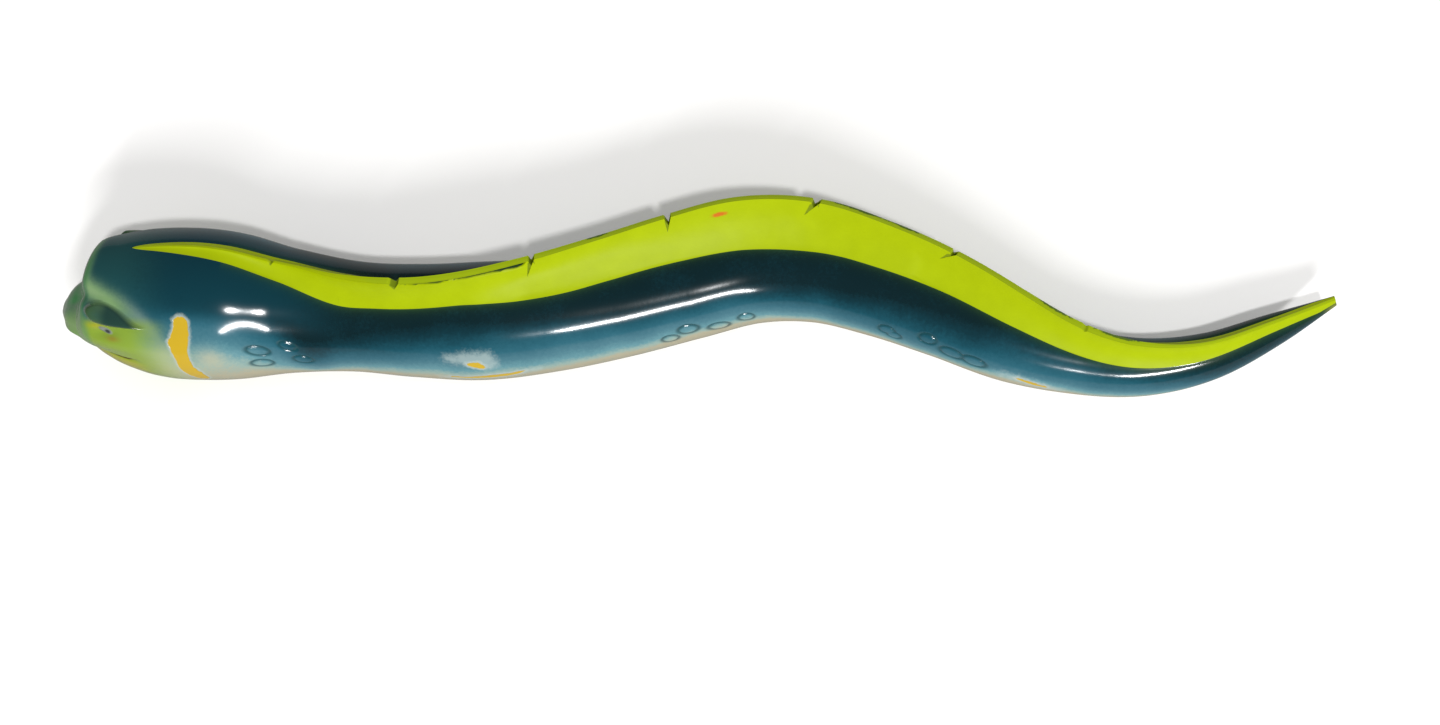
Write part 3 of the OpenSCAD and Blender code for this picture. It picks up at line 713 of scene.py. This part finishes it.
def drawn_aluminium():
    """Soft aluminium wire, drawn: bright, with fine lengthwise scratches."""
    material, tree, shader = new_material("drawn aluminium wire")
    where = add_node(tree, "ShaderNodeTexCoord").outputs["Object"]
    lines = noise(tree, where, 0.4, 3)
    colour = over(tree, srgb("#C4C7CA"), srgb("#E2E4E6"), lines)
    tree.links.new(colour, shader.inputs["Base Color"])
    shader.inputs["Metallic"].default_value = 1.0
    rough = add_node(tree, "ShaderNodeMapRange", Value=lines, To_Min=0.28, To_Max=0.42).outputs[0]
    tree.links.new(rough, shader.inputs["Roughness"])
    return material


SKIN_MATERIAL, FIN_MATERIAL, WIRE_MATERIAL = sprayed_vinyl(), fin_vinyl(), drawn_aluminium()
starts = X > place(FIN_START)
for k in range(7):
    front, rear = LINKS[k], LINKS[k + 1]
    rings = slice(FIRST[k], FIRST[k + 1] + 1)
    skin = closed_strip(f"{front}_to_{rear}_skin", BODY[rings], BODY_N[rings],
                        {n: v[rings] for n, v in SKIN_LAYERS.items()}, ~starts[rings])
    first = FIRST[k] if k else int(np.argmax(starts))
    rings = slice(first, FIRST[k + 1] + 1)
    fin = closed_strip(f"{front}_to_{rear}_fin", FIN[rings], FIN_N[rings],
                       {n: v[rings] for n, v in FIN_LAYERS.items()})
    bend, ahead, _ = frame_at(STATION_X[k + 1:k + 2])
    for piece, material, tail_of_name, finish in ((skin, SKIN_MATERIAL, "", "painted_vinyl"),
                                                  (fin, FIN_MATERIAL, "_fin", "fin_paint")):
        piece.data.materials.append(material)
        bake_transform(piece)
        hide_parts(front + tail_of_name, rear + tail_of_name)
for name in LINKS:
    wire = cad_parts[name + "_wire"]
    for slot in wire.material_slots:
        slot.material = WIRE_MATERIAL
    if not wire.material_slots:
        wire.data.materials.append(WIRE_MATERIAL)

# The table, the lamps and the camera
TABLE = 3   # half its width, in metres
floor_mesh = bpy.data.meshes.new("table_top")
corners = [(-TABLE, -TABLE, 0), (TABLE, -TABLE, 0), (TABLE, TABLE, 0), (-TABLE, TABLE, 0)]
floor_mesh.from_pydata(corners, [], [(0, 1, 2, 3)])
floor = bpy.data.objects.new("table_top", floor_mesh)
bpy.context.scene.collection.objects.link(floor)
floor.location.z = -0.0001
paper, tree, shader = new_material("white table")
seen = add_node(tree, "ShaderNodeLightPath").outputs["Is Glossy Ray"]
tree.links.new(over(tree, srgb("#F4F3F2"), srgb("#8C8B88"), seen), shader.inputs["Base Color"])
shader.inputs["Roughness"].default_value = 0.6
floor_mesh.materials.append(paper)


def lamp(name, direction, distance, wide, high, watts, roll=0):
    """A soft box that faces the middle of the figure, from a direction and a distance in
    metres, turned about that direction by some degrees."""
    light = bpy.data.lights.new(name, "AREA")
    light.shape, light.size, light.size_y, light.energy = "RECTANGLE", wide, high, watts
    obj = bpy.data.objects.new(name, light)
    way = Vector(direction).normalized()
    obj.location = way * distance + Vector((0, 0, 0.01))
    obj.rotation_euler = (way.to_track_quat("Z", "Y") @ Quaternion((0, 0, 1), np.radians(roll))).to_euler()
    bpy.context.scene.collection.objects.link(obj)


# One long window or soft box in front gives the streaks and the soft shadow behind, a
# small one the glints on the neck; the room gives the rest and is dark in reflections.
lamp("long_box", (0.22, -0.76, 0.6), 1.0, 0.36, 0.06, 6.6, roll=25)
lamp("small_lamp", (0.28, -0.44, 0.85), 1.1, 0.06, 0.05, 6)
ROOM_LIT, ROOM_REFLECTED = 0.54, 0.06
world = bpy.data.worlds.new("white_room")
bpy.context.scene.world = world
world.use_nodes = True
tree = world.node_tree
seen = add_node(tree, "ShaderNodeLightPath").outputs["Is Glossy Ray"]
bright = add_node(tree, "ShaderNodeMapRange", Value=seen, To_Min=ROOM_LIT, To_Max=ROOM_REFLECTED).outputs[0]
tree.links.new(bright, tree.nodes["Background"].inputs[1])
tree.nodes["Background"].inputs[0].default_value = (1, 1, 1, 1)

# The camera looks down at the target, in millimetres and degrees, turned a little to +x
CAMERA_TARGET, CAMERA_DISTANCE = np.array([-5.85, -11.15, 0]), 350
CAMERA_TURNED, CAMERA_DOWN = 10.9966, 70
camera_data = bpy.data.cameras.new("camera")
camera_data.sensor_width, camera_data.lens = 36, 58.19
camera_data.clip_start, camera_data.clip_end = 0.01, 20
camera = bpy.data.objects.new("camera", camera_data)
turned, down = np.radians(CAMERA_TURNED), np.radians(CAMERA_DOWN)
right = np.array([np.cos(turned), np.sin(turned) * np.cos(down), -np.sin(turned) * np.sin(down)])
up = np.array([0, np.sin(down), np.cos(down)])
back = np.cross(right, up)
spot = CAMERA_TARGET + CAMERA_DISTANCE * back / np.linalg.norm(back)
camera.matrix_world = Matrix([[right[k], up[k], back[k], spot[k] * MM] for k in range(3)] + [[0, 0, 0, 1]])
bpy.context.scene.collection.objects.link(camera)
bpy.context.scene.camera = camera
bpy.context.scene.view_settings.view_transform = "Standard"
